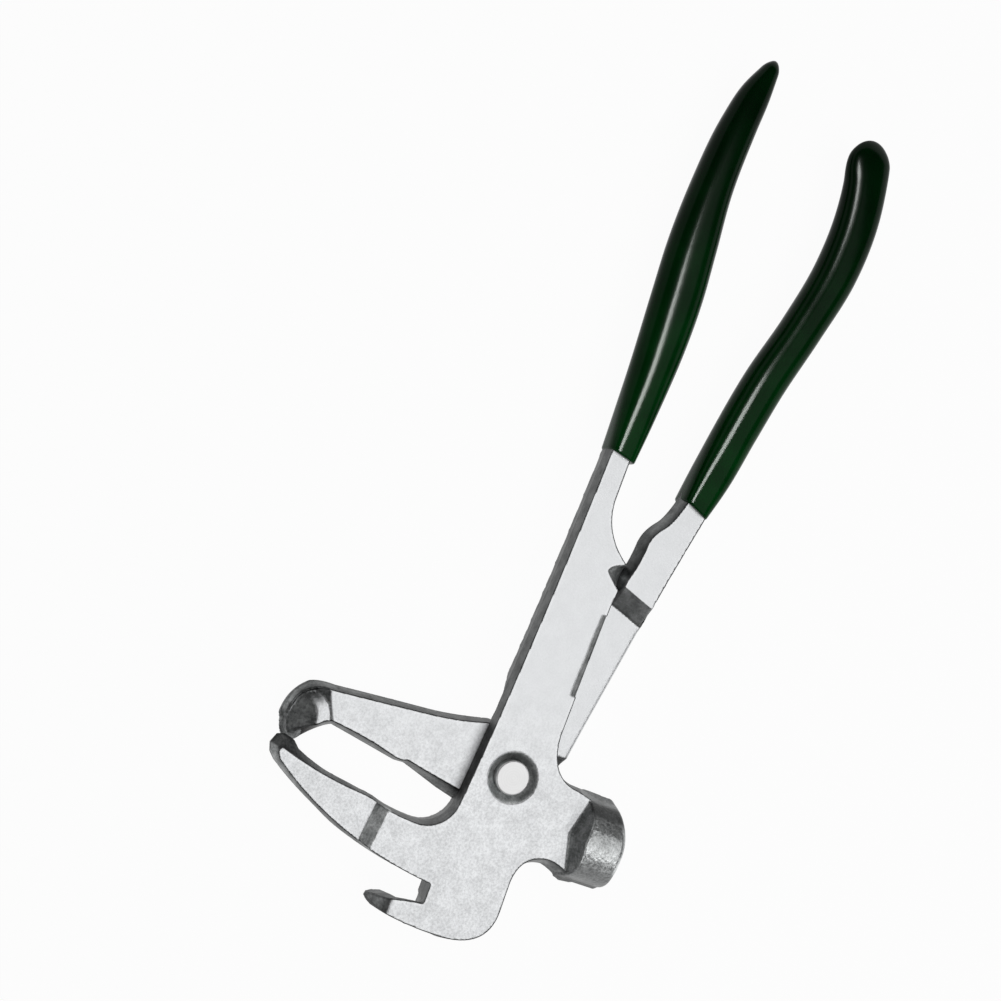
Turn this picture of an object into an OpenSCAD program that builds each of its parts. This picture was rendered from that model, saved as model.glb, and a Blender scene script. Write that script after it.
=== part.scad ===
// Wheel weight pliers: two forged halves that lap at a riveted pivot, with a hammer, a pry hook,
// a pair of long jaws that close on a weight, and two dipped grips.
// Millimetres. The origin is on the pivot axis at the joint's flat back; +X runs to the handles,
// +Y to the jaws and +Z out of the front face.

/* [Pivot] */
// Thickness of the closed joint and of both levers
joint_t = 9; // [7:0.5:12]
// Radius of the round boss where the halves lap
boss_r = 14; // [12:0.5:18]
// Radius of the pivot pin
pin_r = 4.75; // [3.5:0.25:5.75]
// Radius of the countersink at each end of the pin
sink_r = 7.2; // [6.4:0.1:9]
// Depth of each countersink
sink_depth = 2.5; // [1:0.25:3]
// Largest opening of the rear half, in degrees
open_angle = 35; // [15:1:35]

/* [Jaws] */
// Reach of the jaw tips from the pivot
jaw_reach = 64; // [54:1:80]
// How far each side of the front jaw steps in past its ramp
jaw_step = 1.5; // [0.5:0.25:2.5]
// Gap between the two closed jaw tips
tip_gap = 0.4; // [0.3:0.1:2]

/* [Hook] */
// Width of the slot beside the pry hook
slot_w = 6; // [4.5:0.5:7]
// Distance from the pivot line to the slot's floor
slot_floor = 11.3; // [8:0.5:14]
// Reach of the hook's tip from the pivot line
hook_reach = 25.5; // [22:0.5:30]

/* [Hammer] */
// Radius of the hammer head
hammer_r = 11.5; // [10:0.5:14]
// Distance of the striking face from the pivot
hammer_reach = 37.5; // [34:0.5:48]
// Distance of the hammer's axis behind the pivot
hammer_back = 9.7; // [7:0.1:11]
// Rounding of the striking face's rim
hammer_round = 2.5; // [1:0.5:4]

/* [Levers] */
// Distance from the pivot to the rim of the front grip
front_rim = 92; // [88:1:120]
// Distance from the pivot to the rim of the rear grip
rear_rim = 86; // [86:1:116]
// Width of the notch in the front lever
notch_w = 7.2; // [5:0.2:7.2]
// Depth of the notch in the front lever
notch_depth = 4.6; // [2:0.2:6]

/* [Grips] */
// Length of the front grip
front_grip_l = 121; // [90:1:150]
// Length of the rear grip
rear_grip_l = 119; // [90:1:150]
// Half of the grips' thickness at their middle
grip_half_t = 6.2; // [5.6:0.1:8]
// Thickness of the grips' coating beside the steel
coating_t = 2.2; // [1.5:0.1:2.5]
// Thickness of the steel inside the grips
tang_t = 7; // [5:0.5:7.5]

/* [Fits] */
// Gap between the two lapped faces
lap_gap = 0.1; // [0.05:0.05:0.3]
// Radial clearance of the pin in the rear half
run_fit = 0.05; // [0.02:0.01:0.09]
// Radial gap round the pin's head in the rear half's countersink
head_gap = 0.2; // [0.15:0.05:0.4]
// Radial clearance of the pin in the front half, where it is riveted
rivet_fit = 0.02; // [0.01:0.01:0.05]
// Gap between the halves at their edges
edge_gap = 0.5; // [0.3:0.1:1]

/* [Hidden] */
$fn = 64;
mid = joint_t / 2;
past = 1;
far = 80;

// Points of a curve that leaves a towards c and reaches b from c
function bow(a, c, b, n = 10) =
    [for (i = [0:n]) let (t = i / n) (1 - t) * (1 - t) * a + 2 * t * (1 - t) * c + t * t * b];

// Points of a circular arc
function arc(c, r, from, to, n = 12) =
    [for (i = [0:n]) let (w = from + (to - from) * i / n) c + r * [cos(w), sin(w)]];

// One closed outline from several stretches, with no point twice
function joined(stretches) =
    let (all = [for (s = stretches) each s])
    [for (i = [0:len(all) - 1]) if (norm(all[i] - all[(i + 1) % len(all)]) > 0.02) all[i]];

// A point turned about the pivot
function turned(p, angle) =
    [p.x * cos(angle) - p.y * sin(angle), p.x * sin(angle) + p.y * cos(angle)];

// Jaws: heights above the root are stretched so that the tips reach jaw_reach
jaw_root = 30;
drawn_reach = 64;
function jaw_y(y) = y < jaw_root ? y
    : jaw_root + (y - jaw_root) * (jaw_reach - jaw_root) / (drawn_reach - jaw_root);
function jaw(p) = [p.x, jaw_y(p.y)];

// The U between the jaws
throat = [-10.4, 20.6];
throat_r = 9;
tip_x = -9;
ramp_low = 29.8;
ramp_high = 33.5;
back_step_share = 0.7;
claw_from_x = -1.5;
claw_tip_z = 0.8;

// Hook and its slot
slot_right = -33.3;
slot_left = slot_right - slot_w;
slot_round = 1.2;
hook_bend = 19;
hook_tip_z = 1.3;

// Hammer
hammer_x = -hammer_back;
shoulder_start = 20.7;
shoulder_end = 24;
neck_half = 10.4;

// Levers
lever_low = -9.2;
notch_mid = 61;
lever_top_start = [-8, 11.3];
lever_narrow = 80;
shoulder_a = [25, 9.4];
shoulder_b = [56, -11];
ground_from = 26.5;
ground_to = 49.5;
ground_w = 2;
ground_depth = 2.2;

front_outline = joined([
    [[front_rim, 0.2], [front_rim, 6.2]],
    bow([front_rim, 6.2], [36, 7.8], lever_top_start),
    arc(throat, throat_r, 258, 175),
    bow([-19.4, 21.4], [-19, 29], jaw([-16.6, 38])),
    bow(jaw([-16.6, 38]), jaw([-15.2, 49]), jaw([-10.5, 58.5])),
    [jaw([tip_x - tip_gap, 59.5]), jaw([tip_x - tip_gap, 63.2]), jaw([-12, 64]), jaw([-14, 63.6])],
    bow(jaw([-15.6, 61.9]), jaw([-30.4, 40]), [slot_right, 14]),
    arc([slot_right - slot_round, slot_floor + slot_round], slot_round, 0, -90, 4),
    arc([slot_left + slot_round, slot_floor + slot_round], slot_round, 270, 180, 4),
    bow([slot_left - 0.1, 13.5], [slot_left - 0.9, 19], [slot_left - 3, hook_reach - 0.6], 6),
    bow([slot_left - 3.4, hook_reach], [-45.9, 14.5], [-46, 4]),
    bow([-46, 4], [-46, -9.8], [-35, -9.8]),
    bow([-26.5, -9.5], [-18.5, -9.8], [-17.8, -17.8]),
    [[hammer_x - neck_half, -shoulder_end], [hammer_x + neck_half, -shoulder_end]],
    bow([1.9, -21], [3.2, -9.3], [15, -8.8]),
    [
        [notch_mid - notch_w / 2, lever_low - 0.4],
        [notch_mid - 0.3, lever_low - 0.4 + notch_depth],
        [notch_mid + 0.5, lever_low - 0.4 + notch_depth],
        [notch_mid + notch_w / 2, lever_low - 0.4],
    ],
    bow([notch_mid + notch_w / 2, lever_low - 0.4], [70.5, -0.3], [lever_narrow, 0.2]),
]);

// Grips: distance along the grip, its middle line and half of its width, from rim to tip
front_stations = [
    [0, 2.2, 5.2], [13, 2.1, 5.7], [30, 2, 6.7], [48, 2.6, 7.4], [58, 3.2, 7.4], [68, 4.1, 6.9],
    [80, 4.3, 6.2], [90, 4.1, 5.6], [100, 3.2, 5.4], [108, 2.1, 4.7], [114, 1, 3.6],
    [119, -0.3, 1.7], [121, -0.6, 0.6],
];
rear_stations = [
    [0, -23.5, 5.2], [12, -25.6, 5.9], [26, -27.8, 6.2], [41, -30.6, 6.3], [54, -34.1, 6.2],
    [64, -36.9, 6.3], [79, -39.6, 6.6], [94, -40.1, 6.7], [106, -39, 6.6], [112, -38.2, 5.8],
    [116, -37.8, 4.3], [118.6, -37.7, 2],
];
drawn_front_l = 121;
drawn_rear_l = 119;
tang_share = 0.82;

function grip_x(rim, length, drawn, d) = rim + d * length / drawn;

// Points where the steel inside a grip ends, up one side and back down the other
function tang_outline(stations, rim, length, drawn) =
    let (inside = [for (s = stations) if (s[0] < tang_share * drawn) s], n = len(inside))
    concat(
        [for (s = inside) [grip_x(rim, length, drawn, s[0]), s[1] - (s[2] - coating_t)]],
        [for (i = [n - 1:-1:0])
            [grip_x(rim, length, drawn, inside[i][0]), inside[i][1] + (inside[i][2] - coating_t)]]);

// A wedge seen along X, cut right across the part between two x values
module side_cut(points, x0, x1) {
    translate([x0, 0, 0]) rotate([90, 0, 90]) linear_extrude(x1 - x0) polygon(points);
}

module hammer_head() {
    translate([hammer_x, 0, mid]) rotate([90, 0, 0]) rotate_extrude() polygon(joined([
        [[0, shoulder_start - 6], [mid, shoulder_start]],
        [[hammer_r - 0.5, shoulder_end - 0.2], [hammer_r, shoulder_end + 0.6]],
        arc([hammer_r - hammer_round, hammer_reach - hammer_round], hammer_round, 0, 90, 6),
        [[0, hammer_reach]],
    ]));
}

// What the rear half sweeps below the lap plane, from closed to fully open
module swept_room() {
    spare = 2;
    low_edge = [[6.2, -14 - edge_gap], [49.5, -21.3 - edge_gap]];
    union() {
        circle(boss_r + edge_gap);
        polygon([
            [-12, 12], [-12, far], [shoulder_a.x - 8, far], [shoulder_a.x, shoulder_a.y + 3],
            shoulder_a, shoulder_b, [shoulder_b.x, -far],
            turned(low_edge[1], -open_angle - spare), turned(low_edge[0], -open_angle - spare),
        ]);
    }
}

module front_steel() {
    difference() {
        union() {
            linear_extrude(joint_t) polygon(front_outline);
            hammer_head();
            translate([0, 0, (joint_t - tang_t) / 2]) linear_extrude(tang_t)
                polygon(tang_outline(front_stations, front_rim, front_grip_l, drawn_front_l));
        }
        translate([0, 0, -far]) linear_extrude(far + mid + lap_gap / 2) swept_room();
        // The front jaw steps in over a ramp on both faces, and its tip is cut to an edge
        side_cut([[ramp_low, joint_t], [ramp_high, joint_t - jaw_step],
            [jaw_y(57), joint_t - jaw_step], [jaw_y(64), mid], [jaw_y(70), mid],
            [jaw_y(70), joint_t + past], [ramp_low, joint_t + past]], -60, tip_x + past);
        back_step = jaw_step * back_step_share;
        side_cut([[ramp_low, 0], [ramp_high, back_step],
            [jaw_y(70), back_step], [jaw_y(70), -past], [ramp_low, -past]], -60, tip_x + past);
        // The hook's tip is ground down on the front
        side_cut([[hook_bend, joint_t], [hook_reach + past, hook_tip_z],
            [hook_reach + past, joint_t + past], [hook_bend, joint_t + past]], -60, slot_left);
        // Ground flat along the front lever's lower edge
        side_cut([[lever_low + ground_w, joint_t], [lever_low - past, joint_t - ground_depth - past],
            [lever_low - past, joint_t + past], [lever_low + ground_w, joint_t + past]],
            ground_from, ground_to);
        // Pin hole and its countersink
        translate([0, 0, -past]) cylinder(h = joint_t + 2 * past, r = pin_r + rivet_fit);
        translate([0, 0, joint_t - sink_depth])
            cylinder(h = sink_depth, r1 = pin_r + rivet_fit, r2 = sink_r);
    }
}

module front_half() {
    color("silver") front_steel();
}

// The rear half below the lap plane: boss, web under the front lever, jaw arm and claw
rear_thin = joined([
    bow([11.3, 11.3], [8.5, 20], jaw([7.8, 36]), 8),
    [jaw([6, 54]), jaw([6.2, 57])],
    bow(jaw([5.8, 60]), jaw([3, 64]), jaw([-4.5, 64.2]), 6),
    [jaw([tip_x + 0.6, 62.8]), jaw([tip_x, 60.5]), jaw([tip_x, 59.5])],
    bow(jaw([-5.2, 56]), jaw([-2.6, 53.5]), jaw([-2.2, 50]), 4),
    [jaw([-4.4, 38]), [-5.8, 29.5], [-6.6, 27.5], [-8.6, 20]],
    [[-9.6, 11], [0, 0], [6.2, -14], [19.4, -16.1], [49.5, -21.3], [56, -22]],
    [[shoulder_b.x, shoulder_b.y - edge_gap], [shoulder_a.x - edge_gap, shoulder_a.y - edge_gap]],
]);

// The rear lever past its ramp, full thickness
rear_thick = joined([
    [[50.5, -21.4], [54.5, -11.3], [60, -11]],
    bow([67, -10.9], [73, -11.2], [76, -14.2], 6),
    bow([76, -14.2], [80, -18.2], [rear_rim, -19.4], 6),
    [[rear_rim, -27], [64.6, -22.6]],
]);

module rear_steel() {
    ramp_x = 53;
    ramp_run = 6;
    difference() {
        union() {
            linear_extrude(mid - lap_gap / 2) {
                polygon(rear_thin);
                circle(boss_r);
            }
            intersection() {
                linear_extrude(joint_t) polygon(rear_thick);
                rotate([0, 0, -20]) rotate([90, 0, 0]) translate([0, 0, -far])
                    linear_extrude(2 * far) polygon([
                        [ramp_x, -past], [ramp_x, mid - lap_gap / 2], [ramp_x + ramp_run, joint_t],
                        [3 * far, joint_t], [3 * far, -past]]);
            }
            translate([0, 0, (joint_t - tang_t) / 2]) linear_extrude(tang_t)
                polygon(tang_outline(rear_stations, rear_rim, rear_grip_l, drawn_rear_l));
        }
        // The claw's face falls to its cutting tip
        translate([0, jaw_y(70), 0]) rotate([90, 0, 0]) linear_extrude(jaw_y(70) - jaw_y(54))
            polygon([[claw_from_x, mid], [tip_x - past, claw_tip_z], [tip_x - past, mid + past],
                [claw_from_x, mid + past]]);
        translate([0, 0, -past]) cylinder(h = joint_t + 2 * past, r = pin_r + run_fit);
        sink_slope = (sink_r - pin_r) / sink_depth;
        translate([0, 0, -past]) cylinder(h = sink_depth + past,
            r1 = sink_r + head_gap + sink_slope * past, r2 = pin_r + head_gap);
    }
}

module rear_half() {
    color("gainsboro") rear_steel();
}

module pivot_pin() {
    color("white") union() {
        cylinder(h = joint_t, r = pin_r);
        cylinder(h = sink_depth, r1 = sink_r, r2 = pin_r);
    }
}

// A grip as one sweep: an oval ring at each step, from the rim to the tip
grip_sides = 20;
grip_rings = 32;
rim_cover = 1.1;
rim_half_t = mid + rim_cover;
tip_half_t = 1.2;
swell = 0.2;

// Value of a station list's column at distance d, eased between stations
function at_station(stations, column, d) = lookup(d, [for (s = stations) [s[0], s[column]]]);

// Half of a grip's thickness at distance d: it swells past the rim and thins to the tip
function half_thick(d, last) =
    let (t = d / last)
    t < swell ? rim_half_t + (grip_half_t - rim_half_t) * sin(90 * t / swell)
    : tip_half_t + (grip_half_t - tip_half_t) * sqrt(max(0, 1 - pow((t - swell) / (1 - swell), 4)));

module grip_body(stations, rim, length, drawn) {
    last = stations[len(stations) - 1][0];
    rings = [for (i = [0:grip_rings])
        let (d = last * sin(i / grip_rings * 90), c = at_station(stations, 1, d),
            h = at_station(stations, 2, d), k = half_thick(d, last))
        [for (j = [0:grip_sides - 1]) let (w = 360 * j / grip_sides)
            [grip_x(rim, length, drawn, d), c + h * cos(w), mid + k * sin(w)]]];
    points = [for (ring = rings) each ring];
    sides = grip_sides;
    faces = concat(
        [[for (j = [0:sides - 1]) j]],
        [for (i = [0:grip_rings - 1], j = [0:sides - 1])
            [i * sides + j, (i + 1) * sides + j, (i + 1) * sides + (j + 1) % sides,
                i * sides + (j + 1) % sides]],
        [[for (j = [sides - 1:-1:0]) grip_rings * sides + j]]);
    polyhedron(points, faces);
}

module front_grip() {
    color("darkgreen") difference() {
        grip_body(front_stations, front_rim, front_grip_l, drawn_front_l);
        front_steel();
    }
}

module rear_grip() {
    color("darkgreen") difference() {
        grip_body(rear_stations, rear_rim, rear_grip_l, drawn_rear_l);
        rear_steel();
    }
}

front_half();
rear_half();
pivot_pin();
front_grip();
rear_grip();
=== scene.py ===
# %% [markdown]
# # Wheel weight pliers
# Two forged halves of steel lap at a rivet. One half carries a hammer, a pry hook and a long jaw,
# and the other a jaw arm with a claw. The handles are dipped in green vinyl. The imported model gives
# the exact pieces and the hinge. This file gives them their forged and dipped surfaces.

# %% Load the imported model
import bpy
import numpy as np
from mathutils import Matrix, Vector


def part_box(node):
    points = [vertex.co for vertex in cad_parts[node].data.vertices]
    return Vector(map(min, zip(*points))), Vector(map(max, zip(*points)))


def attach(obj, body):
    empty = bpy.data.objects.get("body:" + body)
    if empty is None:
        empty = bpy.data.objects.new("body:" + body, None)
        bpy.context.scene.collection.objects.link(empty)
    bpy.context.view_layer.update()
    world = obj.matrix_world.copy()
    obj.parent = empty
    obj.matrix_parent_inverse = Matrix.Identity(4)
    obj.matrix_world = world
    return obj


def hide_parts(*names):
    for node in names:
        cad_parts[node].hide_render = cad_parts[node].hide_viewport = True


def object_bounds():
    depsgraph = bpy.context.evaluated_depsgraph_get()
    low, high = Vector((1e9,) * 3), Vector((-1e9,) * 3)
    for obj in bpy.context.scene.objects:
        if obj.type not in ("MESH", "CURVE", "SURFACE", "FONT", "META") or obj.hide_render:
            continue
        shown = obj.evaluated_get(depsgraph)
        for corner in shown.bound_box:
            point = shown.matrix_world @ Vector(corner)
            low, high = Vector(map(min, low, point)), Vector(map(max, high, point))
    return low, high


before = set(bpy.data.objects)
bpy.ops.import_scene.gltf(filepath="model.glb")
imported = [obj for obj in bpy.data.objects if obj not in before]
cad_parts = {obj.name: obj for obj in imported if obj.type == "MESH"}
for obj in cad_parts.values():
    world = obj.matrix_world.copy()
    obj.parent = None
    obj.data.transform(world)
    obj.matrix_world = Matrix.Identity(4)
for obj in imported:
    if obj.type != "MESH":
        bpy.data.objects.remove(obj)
cad_low, cad_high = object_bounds()
MM = 0.001
print("CAD box in mm", [round(v / MM, 1) for v in (*cad_low, *cad_high)])

# %% [markdown]
# ## The camera
# The photograph looks down on the pliers from beyond the jaws, a little to the handle side. A camera
# is set by where it stands, the point it looks at and which way is up in its picture. The picture is
# square, so one lens length fixes how much it takes in.

# %% Place the camera
CAMERA_AT = Vector((42.6, 134.8, 389.9)) * MM
CAMERA_AIM = Vector((68.8, 29.5, 4.5)) * MM
CAMERA_UP = Vector((0.934, 0.357, -0.034))
LENS_MM = 53.25

camera = bpy.data.objects.new("camera", bpy.data.cameras.new("camera"))
bpy.context.scene.collection.objects.link(camera)
backward = (CAMERA_AT - CAMERA_AIM).normalized()
right = CAMERA_UP.cross(backward).normalized()
upward = backward.cross(right)
camera.matrix_world = Matrix.Translation(CAMERA_AT) @ Matrix((right, upward, backward)).transposed().to_4x4()
camera.data.lens = LENS_MM
camera.data.clip_start = 0.01
bpy.context.scene.camera = camera
print("camera looks along", [round(v, 3) for v in -backward])

# %% [markdown]
# ## Outlines
# A die-forged half is mostly an outline with a thickness. The outlines are drawn in millimetres in
# the plane of the joint, with X to the handles and Y to the jaws. A straight stretch needs its two
# ends, and a bent one is a quadratic curve: it leaves a towards c and reaches b from c.

# %% Curves for outlines
STEPS = 24
SAME_POINT = 0.02


def bow(a, c, b):
    """Points (1-t)^2 a + 2t(1-t) c + t^2 b for t from 0 to 1."""
    t = np.linspace(0, 1, STEPS)[:, None]
    a, c, b = np.array(a, float), np.array(c, float), np.array(b, float)
    return (1 - t) ** 2 * a + 2 * t * (1 - t) * c + t**2 * b


def arc(centre, radius, start, end):
    """Points on a circle between two angles in degrees."""
    w = np.radians(np.linspace(start, end, STEPS))
    return np.array(centre) + radius * np.column_stack([np.cos(w), np.sin(w)])


def outline(*stretches):
    """One closed outline, anticlockwise, without a point that repeats the one before it."""
    points = np.vstack([np.atleast_2d(s) for s in stretches])
    keep = np.linalg.norm(points - np.roll(points, -1, axis=0), axis=1) > SAME_POINT
    return points[keep]


# %% [markdown]
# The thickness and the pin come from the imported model, so that the new surfaces sit where its solids
# are. The mid plane is where the two dies met, and where the halves lap.

# %% Sizes from the model
joint_low, joint_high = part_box("pivot_pin")
TOP = joint_high.z / MM
MID = TOP / 2
PIN_R = 4.75
SINK_R = joint_high.x / MM
SINK_DEPTH = 2.5
LAP_GAP = 0.1
FRONT_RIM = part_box("front_grip")[0].x / MM
REAR_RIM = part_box("rear_grip")[0].x / MM
INTO_GRIP = 4
print("joint", round(TOP, 2), "mm thick, rims at", round(FRONT_RIM, 1), "and", round(REAR_RIM, 1))

# %% [markdown]
# The front half's outline runs from the lever over the U between the jaws, up the long jaw, down
# into the hook's slot, round the head, along the hammer's neck and back under the lever with its
# notch. The jaw's tip, the hammer's neck and the notch have one outline on the face and another,
# fuller one in the mid plane.

# %% Outlines of the front half
SLOT_RIGHT, SLOT_LEFT, SLOT_FLOOR, SLOT_ROUND = -33.3, -39.1, 11.3, 0.8
lever_and_u = [
    [(FRONT_RIM + INTO_GRIP, 0.2), (FRONT_RIM + INTO_GRIP, 6.0)],
    bow((FRONT_RIM, 6.1), (36, 7.8), (-8, 11.3)),
    arc((-10.4, 20.6), 9, 258, 175),
    bow((-19.4, 21.4), (-19, 29), (-17.2, 34)),
    [(-16.8, 36.2)],
]
face_tip = [
    bow((-16.6, 38), (-15.6, 50), (-11.8, 61.5)),
    [(-12.4, 62.1), (-13.3, 62.2)],
    bow((-15.0, 61.2), (-29.6, 41), (SLOT_RIGHT, 13)),
]
mid_tip = [
    bow((-16.6, 38), (-14.6, 50), (-11.3, 57)),
    [(-9.2, 59.2), (-8.6, 61.8), (-9.3, 63.9), (-11.9, 64.9), (-14.2, 64.1)],
    bow((-15.9, 62.4), (-30.2, 41), (SLOT_RIGHT, 13)),
]
slot_to_head = [
    arc((SLOT_RIGHT - SLOT_ROUND, SLOT_FLOOR + SLOT_ROUND), SLOT_ROUND, 0, -90),
    arc((SLOT_LEFT + SLOT_ROUND, SLOT_FLOOR + SLOT_ROUND), SLOT_ROUND, 270, 180),
    bow((SLOT_LEFT, 13), (-39.7, 19), (-41.5, 24.4)),
    [(-42.1, 25.3), (-43, 25.5), (-43.5, 24.8)],
    bow((-43.7, 24), (-45.9, 14.5), (-46, 4)),
    bow((-46, 4), (-46, -9.8), (-35, -9.8)),
]
face_neck = [
    bow((-27, -9.6), (-18.5, -9.8), (-17.8, -17.8)),
    bow((-17.8, -17.8), (-17.9, -20.8), (-19.4, -23.5)),
    [(-18, -27), (0, -27)],
    bow((1.3, -23.4), (2.2, -20.5), (2.6, -17.5)),
]
mid_neck = [
    bow((-27, -9.7), (-19.2, -10.2), (-18.8, -17.6)),
    bow((-18.8, -17.6), (-19.4, -20.8), (-21.6, -24.4)),
    [(-21.3, -27), (2.2, -27)],
    bow((2.4, -24), (2.3, -20.5), (2.6, -17.5)),
]
under_lever = [bow((2.6, -17.5), (4.2, -9.6), (15, -8.7)), [(51.8, -9.2)]]
face_notch = [bow((57.4, -9.7), (60, -6.4), (61.4, -5.1)), bow((61.6, -5), (63.6, -5.4), (64.6, -9.7))]
mid_notch = [(57.4, -9.7), (64.6, -9.9)]
lever_end = bow((64.6, -9.7), (70.5, -0.3), (80, 0.2))
front_face = outline(*lever_and_u, *face_tip, *slot_to_head, *face_neck, *under_lever, *face_notch, lever_end)
front_mid = outline(*lever_and_u, *mid_tip, *slot_to_head, *mid_neck, *under_lever, *mid_notch, lever_end)
print("front outlines have", len(front_face), "and", len(front_mid), "points")

# %% [markdown]
# The rear half has two parts. Its boss, its web and its jaw arm are half as thick and lie under the
# front half, and their outline is wider at the back than at the lap. Past a ramp its lever is as
# thick as the joint.

# %% Outlines of the rear half
BOSS_R = 14.0
web = [
    [(-6, 0), (5.6, -13.0), (6.2, -14.0), (19.4, -16.1), (49.5, -21.3), (58, -22.7)],
    [(62, -15), (55.6, -11.5), (21.0, 6.5), (12.0, 7.5)],
]
thin_lap = outline(
    bow((11.4, 11), (9.4, 18), (8.6, 25.4)),
    bow((8.6, 25.4), (7.2, 40), (6, 54)),
    bow((6, 54.4), (6.4, 57.5), (4.6, 59.6)),
    bow((4.6, 59.6), (2.6, 62.4), (-0.8, 62.8)),
    bow((-0.8, 62.9), (-4.4, 63.5), (-8, 61)),
    [(-8.3, 60.7)],
    bow((-8, 60.3), (-5.6, 57.5), (-3.9, 54.6)),
    [(-2.5, 53), (-1.7, 51.1), (-2.6, 44.3), (-3.7, 38.2), (-5.4, 31.6), (-5.6, 29.6), (-5.1, 28)],
    [(-6.2, 22.5), (-8.3, 11), (-8.3, 6)],
    *web,
)
thin_back = outline(
    bow((12.0, 10), (10, 18), (9.2, 25.4)),
    bow((9.2, 25.4), (8.1, 40), (6.9, 53)),
    bow((6.9, 53), (7.0, 57.5), (5.9, 60)),
    bow((5.9, 60), (2.2, 64.4), (-3.4, 64.6)),
    bow((-3.4, 64.8), (-6.8, 64.5), (-9.8, 62.8)),
    [(-10.2, 61.3), (-10, 58.6)],
    bow((-9.7, 58.1), (-5.4, 55.0), (-3.3, 51.4)),
    [(-2.8, 50.4), (-4.9, 39.1), (-6.4, 30.9), (-6.3, 28), (-7.6, 23.9), (-9.9, 17), (-11.4, 11), (-11.0, 6)],
    *web,
)
thick = outline(
    [(50, -19.8), (54, -10.9), (59.3, -11.0)],
    bow((61.7, -11.4), (66, -12.9), (72, -13.2)),
    bow((72, -13.2), (75, -13.3), (78.5, -16.4)),
    bow((78.5, -16.4), (81.5, -18.7), (REAR_RIM + INTO_GRIP, -20.6)),
    [(REAR_RIM + INTO_GRIP, -27.2), (84.1, -26.3), (64.6, -22.4)],
)
print("rear outlines have", len(thin_lap), len(thin_back), "and", len(thick), "points")

# %% [markdown]
# ## Distance fields
# A forging has draft on its walls, rounded edges and fillets, which are hard to model by hand and
# easy to state with distances. Every point of space gets a number: how far it is outside the steel,
# or, below zero, how far inside. The skin is where the number is zero. An outline's distances are
# worked out once on a fine flat grid and looked up from it afterwards.

# %% Distance to an outline, on a grid
MAP_CELL, MAP_SPARE = 0.25, 9.0
LAST_CELL = 1.001


class PlanMap:
    """Distance to a closed outline, negative inside, looked up between the nodes of a flat grid."""

    def __init__(self, points):
        self.low = points.min(0) - MAP_SPARE
        size = np.ceil((points.max(0) + MAP_SPARE - self.low) / MAP_CELL).astype(int) + 1
        x = self.low[0] + MAP_CELL * np.arange(size[0])[:, None]
        y = self.low[1] + MAP_CELL * np.arange(size[1])[None, :]
        nearest = np.full(size, np.inf)
        inside = np.zeros(size, bool)
        for a, b in zip(points, np.roll(points, -1, axis=0)):
            along = ((x - a[0]) * (b[0] - a[0]) + (y - a[1]) * (b[1] - a[1])) / np.sum((b - a) ** 2)
            t = np.clip(along, 0, 1)
            away = (x - a[0] - t * (b[0] - a[0])) ** 2 + (y - a[1] - t * (b[1] - a[1])) ** 2
            nearest = np.minimum(nearest, away)
            if a[1] != b[1]:
                spans = (a[1] > y) != (b[1] > y)
                inside ^= spans & (x < a[0] + (y - a[1]) * (b[0] - a[0]) / (b[1] - a[1]))
        self.values = np.where(inside, -1, 1) * np.sqrt(nearest)

    def at(self, x, y):
        """Bilinear value at x, y; points off the grid take its border's value."""
        u = np.clip((x - self.low[0]) / MAP_CELL, 0, self.values.shape[0] - LAST_CELL)
        v = np.clip((y - self.low[1]) / MAP_CELL, 0, self.values.shape[1] - LAST_CELL)
        u, v = np.broadcast_arrays(u, v)
        i, j = u.astype(int), v.astype(int)
        u, v, m = u - i, v - j, self.values
        this_row = m[i, j] * (1 - u) + m[i + 1, j] * u
        next_row = m[i, j + 1] * (1 - u) + m[i + 1, j + 1] * u
        return this_row * (1 - v) + next_row * v


face_map, mid_map = PlanMap(front_face), PlanMap(front_mid)
lap_map, back_map, thick_map = PlanMap(thin_lap), PlanMap(thin_back), PlanMap(thick)
print("the front half's map has", face_map.values.shape, "nodes")

# %% [markdown]
# Solids are joined with the smaller distance, cut with the larger one, and rounded where the two
# meet by the length of both overshoots, which is the formula of a circle.

# %% Joining, cutting and rounding


def cut(a, b, r):
    """What is inside both a and b, with the edge between them rounded to radius r."""
    return np.minimum(-r, np.maximum(a, b)) + np.hypot(np.maximum(a + r, 0), np.maximum(b + r, 0))


def join(a, b, r):
    """What is inside a or b, with the corner between them filleted to radius r."""
    return -cut(-a, -b, r)


def ease(v, start, end):
    """0 before start, 1 after end, and the smooth 3t^2 - 2t^3 between."""
    t = np.clip((v - start) / (end - start), 0, 1)
    return t * t * (3 - 2 * t)


def plane(p, q, r):
    """A function of x, y: the height of the plane through three points."""
    n = np.cross(np.subtract(q, p), np.subtract(r, p))
    return lambda x, y: p[2] - (n[0] * (x - p[0]) + n[1] * (y - p[1])) / n[2]


def past(x, y, line):
    """How far x, y lies past a line, which is given by a point on it and the direction across it."""
    point, across = line
    return (x - point[0]) * across[0] + (y - point[1]) * across[1]


# %% [markdown]
# ## The front half
# Its walls lean out from both faces to the mid plane, where the dies met. The head leans most. The
# long jaw steps down over a ramp on each face, its tip is cut by a slope, and the hook is ground
# thin from one side. The hammer is a round bar with a flatter flank on each side at the mid plane.
# Two planes rise to it from the face in a V, and its striking face is a shallow dome.
#
# Where a wall leans or curves, its number grows faster than the true distance. Each such wall has a
# scale below 1 that puts this right, so that the roundings on it keep their radius.

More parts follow.
